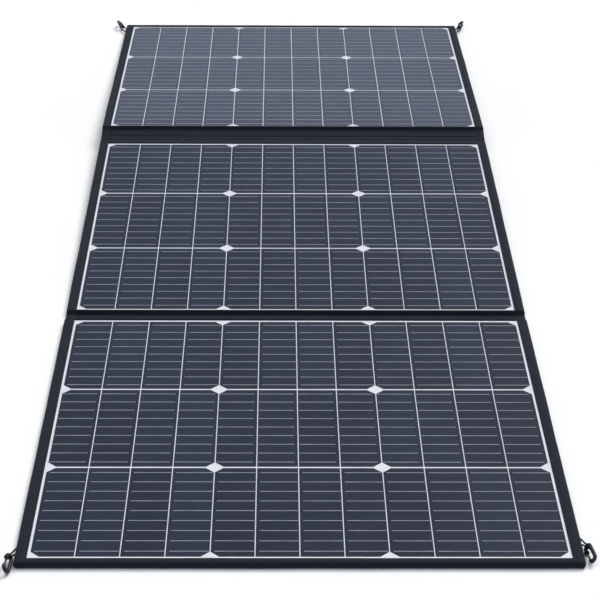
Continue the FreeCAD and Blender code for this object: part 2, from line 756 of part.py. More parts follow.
def output_socket(x):
    """A round socket on the box's side that faces the zip, open at its outer end."""
    wall_y = -value("box_depth") / 2
    out = Y_AXIS * -1
    middle = Vector(x, wall_y, value("box_height") / 2)
    flange_y = "-box_depth / 2 - socket_flange_thickness"
    low = (f"{x} - socket_flange / 2", flange_y, "box_height / 2 - socket_flange / 2")
    high = (f"{x} + socket_flange / 2", "-box_depth / 2", "box_height / 2 + socket_flange / 2")
    flange = box("socket_flange", low, high, box_frame)
    mouth = middle + out * value("socket_length")
    barrel = rod("socket_barrel", middle, mouth, "socket_diameter", box_frame)
    bore_start = middle + out * value("socket_floor")
    bore = rod("socket_bore", bore_start, mouth + out, "socket_bore", box_frame)
    return cut("output_socket", fuse("socket_blank", [flange, barrel]), bore)


socket_x = [side * value("socket_spacing") / 2 for side in (-1, 1)]
node(group("output_sockets", [output_socket(x) for x in socket_x]), "output_sockets")


# Checks, then one STEP file for each sub-part.

doc.recompute()
faults = [obj.Label for obj in doc.Objects if {"Invalid", "Error"} & set(obj.State)]
faults += [obj.Label for obj in nodes if obj.Shape.isNull() or not obj.Shape.isValid()]
if faults:
    raise RuntimeError(f"these objects failed: {sorted(set(faults))}")
if len({obj.Label for obj in nodes}) != len(nodes):
    raise RuntimeError("two sub-parts share a name")

os.makedirs("parts", exist_ok=True)
for obj in nodes:
    obj.Shape.exportStep(f"parts/{obj.Label}.step")
print(f"{len(nodes)} sub-parts, far crease at {list(far_crease)}, pouch along y {pouch_y}")
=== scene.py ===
import json
import math

import bpy
from mathutils import Matrix, Vector, noise


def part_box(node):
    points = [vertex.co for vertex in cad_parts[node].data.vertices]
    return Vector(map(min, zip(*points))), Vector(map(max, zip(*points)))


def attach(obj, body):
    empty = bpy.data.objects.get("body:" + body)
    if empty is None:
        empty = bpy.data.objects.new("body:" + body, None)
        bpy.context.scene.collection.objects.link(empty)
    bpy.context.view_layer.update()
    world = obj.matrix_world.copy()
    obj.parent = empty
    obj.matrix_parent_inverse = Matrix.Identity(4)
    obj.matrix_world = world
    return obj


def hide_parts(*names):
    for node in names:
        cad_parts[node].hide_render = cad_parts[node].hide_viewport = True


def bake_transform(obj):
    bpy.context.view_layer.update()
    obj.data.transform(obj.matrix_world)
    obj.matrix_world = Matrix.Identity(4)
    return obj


# A folding solar blanket around its CAD frame: fabric covers, edge tape with stitches, cell
# laminates with their ribbons, braided corner loops, and a zipped pouch under the far panel.
# Lengths are in millimetres until a point is placed. Each panel has a view frame, with +X to the
# right, +Y away from the camera and z up from its back.

MM = 0.001

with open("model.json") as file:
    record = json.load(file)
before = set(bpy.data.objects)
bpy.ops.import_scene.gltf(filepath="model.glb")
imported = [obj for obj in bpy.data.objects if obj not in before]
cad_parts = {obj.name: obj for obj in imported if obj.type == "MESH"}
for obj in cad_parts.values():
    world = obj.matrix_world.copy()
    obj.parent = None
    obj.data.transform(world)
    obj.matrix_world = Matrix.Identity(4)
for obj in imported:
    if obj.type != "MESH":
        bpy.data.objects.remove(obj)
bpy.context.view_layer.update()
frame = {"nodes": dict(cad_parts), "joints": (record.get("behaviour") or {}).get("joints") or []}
nodes = frame["nodes"]
joints = {joint["name"]: joint for joint in frame["joints"]}


def spot(joint):
    return Vector(joints[joint]["pos_m"]) / MM


def node_box(name):
    low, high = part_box(name)
    return low / MM, high / MM


def climb(low, high):
    """The angle at which a line rises away from the camera."""
    return math.atan2(high.z - low.z, high.y - low.y)


sheet_low, sheet_high = node_box("near_backsheet")
LAMINATE_X = sheet_high.x
LAMINATE_Y = (sheet_high.y - sheet_low.y) / 2
SHEET_TOP = sheet_high.z
CELL_TOP = node_box("near_cells")[1].z
HALF_WIDTH = node_box("near_binding")[1].x
PANEL_TOP = node_box("near_border")[1].z
near_hinge = spot("near_fold_inner")
far_hinge = spot("far_fold_inner")
far_crease = spot("far_fold_outer")
NEAR_STRIP = (near_hinge - spot("near_fold_outer")).length
NEAR_CENTRE = (sheet_low.y + sheet_high.y) / 2
CREASE = spot("near_fold_outer").y - NEAR_CENTRE
FAR_SIDE_CREASE = (far_hinge - near_hinge).length - CREASE
END = NEAR_CENTRE - node_box("near_binding")[0].y
FAR_STRIP = (far_crease - far_hinge).length
RAMP = climb(near_hinge, far_hinge)
RISE = climb(far_hinge, far_crease)
TILT = math.asin(far_crease.z / (CREASE + END))


def view_frame(near_edge, angle):
    """A panel's view frame, from the place of its nearer crease and the angle at which it rises."""
    to_edge = Matrix.Translation(near_edge * MM)
    to_middle = Matrix.Translation(Vector((0, CREASE, 0)) * MM)
    return to_edge @ Matrix.Rotation(angle, 4, "X") @ to_middle


VIEWS = {
    "near": Matrix.Translation(Vector((0, NEAR_CENTRE, 0)) * MM),
    "middle": view_frame(near_hinge, RAMP),
    "far": view_frame(far_crease, -TILT),
}


# Node materials.


class Shader:
    """A Principled material whose inputs are set by short node chains."""

    def __init__(self, name, roughness, **settings):
        self.material = bpy.data.materials.new(name)
        self.material.use_nodes = True
        self.tree = self.material.node_tree
        self.bsdf = self.tree.nodes["Principled BSDF"]
        self.set("Roughness", roughness)
        for socket, value in settings.items():
            self.set(socket.replace("_", " "), value)
        self.coordinates = self.add("ShaderNodeTexCoord").outputs["Object"]

    def set(self, socket, value):
        self.bsdf.inputs[socket].default_value = value

    def add(self, kind, **properties):
        node = self.tree.nodes.new(kind)
        for name, value in properties.items():
            setattr(node, name, value)
        return node

    def plug(self, value, socket):
        if isinstance(value, bpy.types.NodeSocket):
            self.tree.links.new(value, socket)
        else:
            socket.default_value = value

    def math(self, operation, first, second=0.0):
        node = self.add("ShaderNodeMath", operation=operation)
        self.plug(first, node.inputs[0])
        self.plug(second, node.inputs[1])
        return node.outputs[0]

    def noise(self, size, detail=2.0, stretch=(1, 1, 1)):
        """Noise from 0 to 1 whose blotches are about one size across, in millimetres."""
        place = self.add("ShaderNodeMapping")
        self.plug(self.coordinates, place.inputs["Vector"])
        place.inputs["Scale"].default_value = stretch
        node = self.add("ShaderNodeTexNoise")
        node.inputs["Scale"].default_value = 1 / (size * MM)
        node.inputs["Detail"].default_value = detail
        self.plug(place.outputs[0], node.inputs["Vector"])
        return node.outputs["Fac"]

    def axes(self):
        split = self.add("ShaderNodeSeparateXYZ")
        self.plug(self.coordinates, split.inputs[0])
        return split.outputs

    def colours(self, share, *stops):
        """Colours along a share from 0 to 1. Each stop is (place, colour)."""
        ramp = self.add("ShaderNodeValToRGB")
        elements = ramp.color_ramp.elements
        while len(elements) < len(stops):
            elements.new(0.5)
        for element, (place, colour) in zip(elements, stops):
            element.position = place
            element.color = (*colour, 1)
        self.plug(share, ramp.inputs[0])
        return ramp.outputs[0]

    def mix(self, share, first, second):
        node = self.add("ShaderNodeMix", data_type="RGBA")
        self.plug(share, node.inputs[0])
        for value, socket in ((first, node.inputs[6]), (second, node.inputs[7])):
            self.plug((*value, 1) if isinstance(value, tuple) else value, socket)
        return node.outputs[2]

    def colour(self, value):
        self.plug(value, self.bsdf.inputs["Base Color"])

    def rough(self, share, low, high):
        node = self.add("ShaderNodeMapRange")
        self.plug(share, node.inputs["Value"])
        node.inputs["To Min"].default_value = low
        node.inputs["To Max"].default_value = high
        self.plug(node.outputs[0], self.bsdf.inputs["Roughness"])

    def bump(self, height, depth, coat=False):
        """Relief whose full height is a depth in millimetres."""
        node = self.add("ShaderNodeBump")
        node.inputs["Strength"].default_value = 1
        node.inputs["Distance"].default_value = depth * MM
        self.plug(height, node.inputs["Height"])
        self.plug(node.outputs[0], self.bsdf.inputs["Coat Normal" if coat else "Normal"])


def woven(name, dark, light, pitch, depth, sheen=0.04):
    """Plain-woven cloth: threads over and under each other, with faded blotches and painted shade
    in the gaps between threads.
    """
    shader = Shader(name, 0.85, Sheen_Weight=sheen, Sheen_Roughness=0.5, Specular_IOR_Level=0.14)
    x, y, z = shader.axes()
    step = math.pi / (pitch * MM)
    across = shader.math("SINE", shader.math("MULTIPLY", shader.math("ADD", x, z), step))
    along = shader.math("SINE", shader.math("MULTIPLY", shader.math("ADD", y, z), step))
    threads = shader.math("MULTIPLY_ADD", shader.math("MULTIPLY", across, along), 0.5)
    threads.node.inputs[2].default_value = 0.5
    blotches = shader.noise(45, 4.0)
    # Painted shade: the colour is darker where the weave is low, between the threads; the blotches
    # vary the tone at random.
    tone = shader.math("MULTIPLY_ADD", blotches, 0.55)
    shader.plug(shader.math("MULTIPLY", threads, 0.45), tone.node.inputs[2])
    shader.colour(shader.colours(tone, (0.15, dark), (0.85, light)))
    shader.rough(blotches, 0.75, 0.95)
    grain = shader.math("ADD", threads, shader.math("MULTIPLY", shader.noise(1.4, 3.0), 0.5))
    shader.bump(grain, depth)
    return shader.material


def filmed(name, roughness=0.45):
    """A shader under the laminate's clear film: a smooth coat with a fine emboss."""
    shader = Shader(name, roughness, Coat_Weight=1.0, Coat_Roughness=0.16, Coat_IOR=1.3)
    shader.set("Specular IOR Level", 0.06)
    shader.bump(shader.noise(1.1, 2.0), 0.006, coat=True)
    return shader


FINGER_PITCH = 1.5
FINGER_WIDTH = 0.105


def cell_material():
    """Silicon of a slightly different tone in each strip, with its fine printed lines."""
    shader = filmed("cell_silicon")
    x, y, z = shader.axes()
    turns = shader.math("FRACT", shader.math("DIVIDE", x, FINGER_PITCH * MM))
    fingers = shader.math("LESS_THAN", turns, FINGER_WIDTH / FINGER_PITCH)
    island = shader.add("ShaderNodeNewGeometry").outputs["Random Per Island"]
    tone = shader.math("MULTIPLY_ADD", island, 0.45)
    shader.plug(shader.math("MULTIPLY", shader.noise(60, 3.0), 0.55), tone.node.inputs[2])
    dark, middle, light = (0.012, 0.015, 0.026), (0.015, 0.019, 0.033), (0.018, 0.023, 0.041)
    silicon = shader.colours(tone, (0.2, dark), (0.5, middle), (0.8, light))
    lines = shader.mix(shader.math("MULTIPLY", fingers, 0.25), silicon, (0.16, 0.17, 0.19))
    shader.colour(lines)
    shader.rough(shader.noise(25, 2.0), 0.35, 0.5)
    return shader.material


def sheet_material():
    shader = filmed("white_backsheet", 0.5)
    shader.colour(
        shader.colours(shader.noise(18, 3.0), (0.3, (0.70, 0.72, 0.77)), (0.7, (0.78, 0.80, 0.85)))
    )
    shader.rough(shader.noise(9, 2.0), 0.45, 0.6)
    return shader.material


def ribbon_material():
    shader = filmed("ribbon_tin", 0.4)
    tin = shader.noise(6, 3.0, (0.3, 3, 1))
    shader.colour(shader.colours(tin, (0.3, (0.30, 0.31, 0.34)), (0.7, (0.46, 0.47, 0.51))))
    shader.rough(tin, 0.35, 0.55)
    return shader.material


def moulded(name, dark, light, roughness=0.55, grain=0.05):
    """Moulded plastic or rubber with a fine spark-eroded grain."""
    shader = Shader(name, roughness, Specular_IOR_Level=0.45)
    shader.colour(shader.colours(shader.noise(12, 3.0), (0.3, dark), (0.7, light)))
    shader.rough(shader.noise(4, 3.0), roughness - 0.08, roughness + 0.12)
    shader.bump(shader.noise(0.5, 2.0), grain)
    return shader.material


def metal(name, dark, light, roughness, metallic):
    shader = Shader(name, roughness, Metallic=metallic)
    worn = shader.noise(2.5, 4.0)
    shader.colour(shader.colours(worn, (0.35, dark), (0.75, light)))
    shader.rough(worn, roughness - 0.06, roughness + 0.14)
    shader.bump(shader.noise(0.6, 3.0), 0.02)
    return shader.material


tape_cloth = woven("binding_tape", (0.0070, 0.0090, 0.0150), (0.0130, 0.0165, 0.0260), 0.75, 0.16)
front_cloth = woven("border_fabric", (0.0080, 0.0100, 0.0165), (0.0150, 0.0185, 0.0285), 0.6, 0.12)
back_cloth = woven("cover_fabric", (0.0090, 0.0110, 0.0170), (0.0180, 0.0215, 0.0310), 0.6, 0.12)
thread = woven("thread", (0.014, 0.017, 0.024), (0.030, 0.034, 0.044), 0.35, 0.05)
cord_cloth = woven("loop_cord", (0.006, 0.006, 0.008), (0.018, 0.018, 0.021), 0.4, 0.08)
zip_cloth = woven("zip_tape", (0.008, 0.009, 0.012), (0.017, 0.019, 0.024), 0.45, 0.06)
cells = cell_material()
backsheet = sheet_material()
ribbons = ribbon_material()
black_plastic = moulded("black_plastic", (0.013, 0.013, 0.014), (0.026, 0.026, 0.028))
coil_plastic = moulded("zip_coil", (0.010, 0.010, 0.012), (0.022, 0.022, 0.025), 0.4, 0.02)
gasket = moulded("gasket_rubber", (0.020, 0.020, 0.020), (0.032, 0.032, 0.032), 0.8)
foam = moulded("foam", (0.10, 0.10, 0.11), (0.15, 0.15, 0.16), 0.85, 0.3)
board = moulded("fibre_board", (0.40, 0.38, 0.28), (0.52, 0.50, 0.38), 0.5)
lead = moulded("lead_insulation", (0.012, 0.012, 0.012), (0.022, 0.022, 0.022), 0.6)
hook_metal = metal("hook_metal", (0.010, 0.010, 0.011), (0.022, 0.022, 0.024), 0.38, 0.35)
steel = metal("steel", (0.42, 0.42, 0.43), (0.58, 0.58, 0.58), 0.35, 0.9)
zip_metal = metal("zip_metal", (0.018, 0.018, 0.020), (0.045, 0.045, 0.048), 0.35, 0.5)

CAD_LOOKS = {
    "_backsheet": backsheet,
    "_foam_pad": foam,
    "_terminal_cap": black_plastic,
    "_backing_board": board,
    "_leads": lead,
    "zip_slider": zip_metal,
    "_hook": hook_metal,
    "_gate": hook_metal,
    "_gate_pin": steel,
    "junction_box_base": black_plastic,
    "junction_box_lid": black_plastic,
    "junction_box_gasket": gasket,
    "junction_box_screws": steel,
    "diode_terminal_block": black_plastic,
    "output_sockets": black_plastic,
}
for name, solid in nodes.items():
    for ending, look in CAD_LOOKS.items():
        if name.endswith(ending):
            solid.data.materials.clear()
            solid.data.materials.append(look)


# Mesh building.


def smooth_step(value):
    share = min(1.0, max(0.0, value))
    return share * share * (3 - 2 * share)


def wobble(x, y, seed, reach=60.0):
    """Smooth, repeatable unevenness from -1 to 1, with waves about one reach long."""
    return noise.noise(Vector((x / reach, y / reach, seed)))


def circle(centre, side, up, sides):
    """Points round a centre. The lengths of side and up are the two radii."""
    angles = [2 * math.pi * n / sides for n in range(sides)]
    return [centre + side * math.cos(a) + up * math.sin(a) for a in angles]


BRAID_PITCH = 3.2
BRAID_STRANDS = 4
BRAID_RELIEF = 0.06


class Mesh:
    """Points and faces of one piece, gathered from lofts and stitches."""

    def __init__(self):
        self.points = []
        self.faces = []
        self.looks = []

    def face(self, corners, look):
        self.faces.append(corners)
        self.looks.append(look)

    def loft(self, rings, look=0):
        """Joins closed rings of points, and caps the first and the last."""
        first = len(self.points)
        count = len(rings[0])
        for ring in rings:
            self.points.extend(ring)
        for step in range(len(rings) - 1):
            a = first + step * count
            b = a + count
            for i in range(count):
                j = (i + 1) % count
                self.face((a + i, a + j, b + j, b + i), look)
        last = first + (len(rings) - 1) * count
        self.face(tuple(reversed(range(first, first + count))), look)
        self.face(tuple(range(last, last + count)), look)

    def braid(self, path, radius, sides):
        """A braided tube along points in metres: strands wind round it both ways, in relief."""
        twist = 2 * math.pi / (BRAID_PITCH * MM)
        side = Vector((0, 0, 1))
        rings = []
        run = 0.0
        for number, point in enumerate(path):
            before = path[max(number - 1, 0)]
            after = path[min(number + 1, len(path) - 1)]
            ahead = (after - before).normalized()
            side = (side - ahead * side.dot(ahead)).normalized()
            up = ahead.cross(side)
            run += (point - before).length
            ring = []
            for step in range(sides):
                angle = 2 * math.pi * step / sides
                ridge = math.cos(BRAID_STRANDS * angle - twist * run)
                ridge *= math.cos(BRAID_STRANDS * angle + twist * run)
                swell = 1 - BRAID_RELIEF * (1 - ridge)
                outward = side * math.cos(angle) + up * math.sin(angle)
                ring.append(point + outward * radius * swell)
            rings.append(ring)
        self.loft(rings)

    def build(self, name, *materials):
        data = bpy.data.meshes.new(name)
        data.from_pydata([tuple(point) for point in self.points], [], self.faces)
        for material in materials:
            data.materials.append(material)
        for polygon, look in zip(data.polygons, self.looks):
            polygon.material_index = look
            polygon.use_smooth = True
        data.validate()
        data.update()
        piece = bpy.data.objects.new(name, data)
        bpy.context.scene.collection.objects.link(piece)
        return piece


def flat_faces(piece):
    for polygon in piece.data.polygons:
        polygon.use_smooth = False
    return piece


def crisp(piece, angle=35):
    """Shades edges sharper than an angle as edges."""
    data = piece.data
    limit = math.radians(angle)
    normals = {}
    for polygon in data.polygons:
        for key in polygon.edge_keys:
            normals.setdefault(key, []).append(polygon.normal.copy())
    for edge in data.edges:
        pair = normals.get(edge.key, [])
        edge.use_edge_sharp = len(pair) == 2 and pair[0].angle(pair[1], 0) > limit
    return piece


# Sections: a panel, or half of the middle one, with half of each fold strip it shares. Along a
# section, c runs from the crease into the panel, and below zero onto the strip.

BEND_ON_PANEL = 1.5
BEND_ON_STRIP = -2.5
FINE_FROM = -4
FINE_TO = 9


class Section:
    def __init__(self, panel, side, crease, bend, strip, fold, is_end):
        self.panel = panel
        self.side = side
        self.crease = crease
        self.bend = bend
        self.strip = strip
        self.fold = fold
        self.is_end = is_end
        self.last = CREASE + LAMINATE_Y if is_end else crease

    def across(self, c):
        """The place of c on the panel's own Y, which runs on from one section to the next."""
        return self.side * (self.crease - c)

    def point(self, x, c, z):
        """A place in metres. z counts from the back."""
        share = smooth_step((BEND_ON_PANEL - c) / (BEND_ON_PANEL - BEND_ON_STRIP))
        hinge = Vector((0, self.side * self.crease, 0))
        turn = Matrix.Rotation(self.side * self.bend * share, 3, "X")
        flat = Vector((x, self.across(c), z))
        return VIEWS[self.panel] @ ((hinge + turn @ (flat - hinge)) * MM)

    def stations(self, last, step=9.0):
        """Places along c, a millimetre apart over the crease."""
        on_strip = self.strip / 2 + FINE_FROM
        places = [-self.strip / 2 + n * on_strip / 3 for n in range(3)]
        places += [float(c) for c in range(FINE_FROM, FINE_TO)]
        on_panel = last - FINE_TO
        count = max(1, round(on_panel / step))
        return places + [FINE_TO + n * on_panel / count for n in range(count + 1)]

    def bend_piece(self, piece):
        """Bakes a piece's transform into its mesh."""
        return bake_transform(piece)


SECTIONS = {
    "near": Section("near", 1, CREASE, 0, NEAR_STRIP, "near", True),
    "middle_near": Section("middle", -1, CREASE, RAMP, NEAR_STRIP, "near", False),
    "middle_far": Section("middle", 1, FAR_SIDE_CREASE, RISE - RAMP, FAR_STRIP, "far", False),
    "far": Section("far", -1, CREASE, -(RISE + TILT), FAR_STRIP, "far", True),
}

# The edge tape: folded round the edge and sewn down, with one row of stitches through it.

TAPE_ON_STRIP = 2.3
TAPE_RISE_FROM = -0.5
TAPE_RISE = 4.5
CORNER_RADIUS = 3.5
EDGE_ROUND = 3.0
SEAM_INSET = 2.1
SEAM_HALF_WIDTH = 0.7
STITCH_PITCH = 3.6
STITCH_LENGTH = 2.5
STITCH_RADIUS = 0.24
STITCH_SHAPE = ((0, 0.35), (0.2, 0.9), (0.8, 0.9), (1, 0.35))
STITCH_SUNK = 0.2
BACK_STITCH_HEIGHT = 0.26
CORNER_STEPS = 7
END_STEPS = 60


def tape_height(c):
    rise = smooth_step((c - TAPE_RISE_FROM) / TAPE_RISE)
    return TAPE_ON_STRIP + (PANEL_TOP - TAPE_ON_STRIP) * rise


def tape_line(section):
    """Pairs of places (x, c), one on the tape's outer edge and one on its inner edge."""
    outer_end = CREASE + END
    inner_end = CREASE + LAMINATE_Y
    if not section.is_end:
        return [
            [
                ((side * HALF_WIDTH, c), (side * LAMINATE_X, c))
                for c in section.stations(section.crease)
            ]
            for side in (-1, 1)
        ]
    left = [
        ((-HALF_WIDTH, c), (-LAMINATE_X, min(c, inner_end)))
        for c in section.stations(outer_end - CORNER_RADIUS)
    ]
    corner = []
    for step in range(1, CORNER_STEPS):
        angle = math.pi / 2 * step / CORNER_STEPS
        x = -HALF_WIDTH + CORNER_RADIUS * (1 - math.cos(angle))
        c = outer_end - CORNER_RADIUS * (1 - math.sin(angle))
        corner.append(((x, c), (-LAMINATE_X, inner_end)))
    half_run = HALF_WIDTH - CORNER_RADIUS
    end = []
    for step in range(END_STEPS + 1):
        x = -half_run + 2 * half_run * step / END_STEPS
        end.append(((x, outer_end), (min(LAMINATE_X, max(-LAMINATE_X, x)), inner_end)))
    mirrored = [((-outer[0], outer[1]), (-inner[0], inner[1])) for outer, inner in left + corner]
    return [left + corner + end + mirrored[::-1]]


def tape_profile(width, height):
    """The tape's cross-section as (distance from the outer edge, z), once round."""
    ring = []
    for step in range(9):
        angle = math.radians(-90 + 180 * step / 8)
        reach = math.copysign(abs(math.sin(angle)) ** 0.8, math.sin(angle))
        ring.append((EDGE_ROUND * (1 - math.cos(angle) ** 0.8), height * (0.5 + 0.5 * reach)))
    seam = width - SEAM_INSET
    before, after = seam - SEAM_HALF_WIDTH, seam + SEAM_HALF_WIDTH
    top = [(seam / 2 + 1, 0.18), (before, 0.1), (seam, -0.3), (after, 0.05), (width - 0.5, -0.02)]
    ring += [(a, height * (1 + z / PANEL_TOP)) for a, z in top]
    ring += [(width, height * 0.92), (width, 0.15), (after, 0.0), (seam, 0.3), (before, 0.0)]
    return ring


def stitches(mesh, section, places, z, look):
    """A row of stitches along places (x, c), at a height given as a function of c."""
    lengths = [0.0]
    for (x0, c0), (x1, c1) in zip(places, places[1:]):
        lengths.append(lengths[-1] + math.hypot(x1 - x0, c1 - c0))

    def at(run):
        number = 1
        while number < len(lengths) - 1 and lengths[number] < run:
            number += 1
        span = lengths[number] - lengths[number - 1]
        share = (run - lengths[number - 1]) / span if span else 0
        (x0, c0), (x1, c1) = places[number - 1], places[number]
        c = c0 + (c1 - c0) * share
        return section.point(x0 + (x1 - x0) * share, c, z(c))

    for number in range(int(lengths[-1] / STITCH_PITCH)):
        start = at((number + 0.15) * STITCH_PITCH)
        end = at((number + 0.15) * STITCH_PITCH + STITCH_LENGTH)
        ahead = (end - start).normalized()
        side = ahead.cross(Vector((0, 0, 1))).normalized()
        up = side.cross(ahead)
        rings = []
        for share, size in STITCH_SHAPE:
            radius = STITCH_RADIUS * MM * size
            rings.append(circle(start.lerp(end, share), side * radius, up * radius, 6))
        mesh.loft(rings, look)


def edge_tape(name, section, replaced):
    mesh = Mesh()
    for line in tape_line(section):
        rings = []
        seam_places = []
        for (x0, c0), (x1, c1) in line:
            width = math.hypot(x1 - x0, c1 - c0)
            y0 = section.across(c0)
            sway = 0.35 * wobble(x0, y0, 3.1)
            height = tape_height(c0) * (1 + 0.02 * wobble(x0, y0, 7.7, 25.0))
            ring = []
            for a, z in tape_profile(width, height):
                share = (a - sway * (1 - a / width)) / width
                ring.append(section.point(x0 + (x1 - x0) * share, c0 + (c1 - c0) * share, z))
            rings.append(ring)
            share = (width - SEAM_INSET) / width
            seam_places.append((x0 + (x1 - x0) * share, c0 + (c1 - c0) * share))
        mesh.loft(rings)
        stitches(mesh, section, seam_places, lambda c: tape_height(c) - STITCH_SUNK, 1)
        stitches(mesh, section, seam_places, lambda c: BACK_STITCH_HEIGHT, 1)
    piece = crisp(mesh.build(name, tape_cloth, thread), 60)
    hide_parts(*replaced)
    return section.bend_piece(piece)


# The front fabric of a fold: a lip at the laminate's edge, a step down, and the strip.

LIP_ROOT = [(0, 6.35), (-0.3, 6.75), (-1.0, 6.95)]
LIP_STEP = [(3.2, 6.95), (2.6, 6.6), (1.9, 5.2), (1.2, 3.2), (0.5, 2.1)]
UNDER_LIP = [(0.5, 1.0), (2.44, 1.05), (2.56, 5.02)]
FACING_TOP = 1.8
FACING_BACK = 1.22
STRIP_STEPS = 72
SEAM_ON_STRIP = -1.9
SEAM_ON_LIP = 3.6
LIP_STITCH_HEIGHT = 6.98
RIPPLE = 0.16
SAG = 0.2
CLOTH_HALF_WIDTH = LAMINATE_X + 0.4


def front_strip(name, section, replaced):
    mesh = Mesh()
    half = section.strip / 2
    on_strip = [-0.4, -1.2, SEAM_ON_STRIP, -2.6, -4.0]
    on_strip += [-4 - n * (half - 4) / 3 for n in range(1, 4)]
    sizes = {SEAM_ON_STRIP: -0.25}
    lip_width = section.crease - LAMINATE_Y
    top = [(lip_width + c, z) for c, z in LIP_ROOT] + LIP_STEP
    top += [(c, FACING_TOP + sizes.get(c, 0)) for c in on_strip]
    under = [(c, FACING_BACK) for c in reversed(on_strip)] + UNDER_LIP + [(lip_width, 5.02)]
    rings = []
    for step in range(STRIP_STEPS + 1):
        x = CLOTH_HALF_WIDTH * (2 * step / STRIP_STEPS - 1)
        ring = []
        for c, z in top:
            ripple = RIPPLE * wobble(x, c * 2, 11.0 + section.side, 34.0) * (c < lip_width - 0.5)
            sag = SAG * smooth_step(-c / half) * (0.4 + wobble(x, 0, 5.0, 90.0))
            fade = 1 - smooth_step((-c - half + 3) / 3)
            ring.append(section.point(x, c, z + (ripple + sag) * fade))
        ring += [section.point(x, c, z) for c, z in under]
        rings.append(ring)
    mesh.loft(rings)
    ends = [-LAMINATE_X + 1, LAMINATE_X - 1]
    stitches(mesh, section, [(x, SEAM_ON_STRIP) for x in ends], lambda c: FACING_TOP - 0.1, 1)
    stitches(mesh, section, [(x, SEAM_ON_LIP) for x in ends], lambda c: LIP_STITCH_HEIGHT, 1)
    piece = mesh.build(name, front_cloth, thread)
    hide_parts(*replaced)
    return section.bend_piece(piece)


# The back fabric: flat on the ground, one cloth from panel to fold.

COVER_TOP = 1.0
PLY_TOP = 0.6
COVER_COLUMNS = 40
COVER_STEP = 12.0
PUFF = 0.12


def back_cover(name, section, replaced):
    mesh = Mesh()
    columns = COVER_COLUMNS
    count = columns + 1
    stations = section.stations(section.last, COVER_STEP)
    for layer in (0, 1):
        for c in stations:
            top = PLY_TOP + (COVER_TOP - PLY_TOP) * smooth_step((c + 1) / 3)
            for column in range(count):
                x = CLOTH_HALF_WIDTH * (2 * column / columns - 1)
                puff = PUFF * (1 + wobble(x, section.across(c), 21.0, 70.0)) * smooth_step(c / 30)
                mesh.points.append(section.point(x, c, top if layer else puff))
    rows = len(stations)
    layer_size = rows * count
    for row in range(rows - 1):
        for column in range(columns):
            a = row * count + column
            mesh.face((a, a + 1, a + count + 1, a + count), 0)
            b = a + layer_size
            mesh.face((b, b + count, b + count + 1, b + 1), 0)
    rim = list(range(count))
    rim += [row * count + columns for row in range(1, rows)]
    rim += [(rows - 1) * count + column for column in reversed(range(columns))]
    rim += [row * count for row in reversed(range(1, rows - 1))]
    for a, b in zip(rim, rim[1:] + rim[:1]):
        mesh.face((b, a, a + layer_size, b + layer_size), 0)
    piece = crisp(mesh.build(name, back_cloth), 60)
    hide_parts(*replaced)
    section.bend_piece(piece)
    return piece


for name, section in SECTIONS.items():
    strip, panel = f"{section.fold}_fold", section.panel
    edges = [f"{strip}_binding", f"{panel}_binding", f"{panel}_border"]
    edge_tape(f"{name}_edge_tape", section, edges)
    front_strip(f"{name}_fold_front", section, [f"{strip}_facing"])
    back_cover(f"{name}_cover_cloth", section, [f"{strip}_backing_ply", f"{panel}_back_cover"])


# The laminate: wafers cut into strips, and nine flat tinned wires across each strip, short of
# one end. The strips are drawn wider than the wafers, so the white gaps under the film show
# narrower.

CELL_ROWS = 3
STRIPS = 12
STRIPS_PER_CELL = 4
STRIP_WIDTH = 41.5
STRIP_PITCH = 43.0
SEEN_GAP = 1.05
CELL_HEIGHT = 166.0
CELL_CHAMFER = 8.5
STRIP_CHAMFER = 0.2
ROW_PITCH = 169.0
RIBBONS = 9
RIBBON_WIDTH = 0.95
RIBBON_TOP = 0.14
RIBBON_SHORT = 3.2
RIBBON_INSET = 0.5
RIBBON_TIP = 0.6
RIBBON_PROFILE = ((-0.5, 0), (0.5, 0), (0.36, 1), (-0.36, 1))


def strip_left(strip):
    return (strip - STRIPS / 2) * STRIP_PITCH + (STRIP_PITCH - STRIP_WIDTH) / 2


def cell_field(panel):
    mesh = Mesh()
    view = VIEWS[panel]
    half_width = (STRIP_PITCH - SEEN_GAP) / 2
    half_height = CELL_HEIGHT / 2
    for row in range(CELL_ROWS):
        y = (row - (CELL_ROWS - 1) / 2) * ROW_PITCH
        for strip in range(STRIPS):
            x = strip_left(strip) + STRIP_WIDTH / 2
            outline = []
            for side_x, side_y in ((-1, -1), (1, -1), (1, 1), (-1, 1)):
                outer_strip = 0 if side_x < 0 else STRIPS_PER_CELL - 1
                on_corner = strip % STRIPS_PER_CELL == outer_strip
                cut = CELL_CHAMFER if on_corner else STRIP_CHAMFER
                along = (x + side_x * (half_width - cut), y + side_y * half_height)
                up = (x + side_x * half_width, y + side_y * (half_height - cut))
                outline += [up, along] if side_x == side_y else [along, up]
            rings = [
                [view @ (Vector((a, b, z)) * MM) for a, b in outline] for z in (SHEET_TOP, CELL_TOP)
            ]
            mesh.loft(rings)
    piece = flat_faces(mesh.build(f"{panel}_cell_strips", cells))
    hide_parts(f"{panel}_cells")
    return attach(piece, f"{panel}_panel")


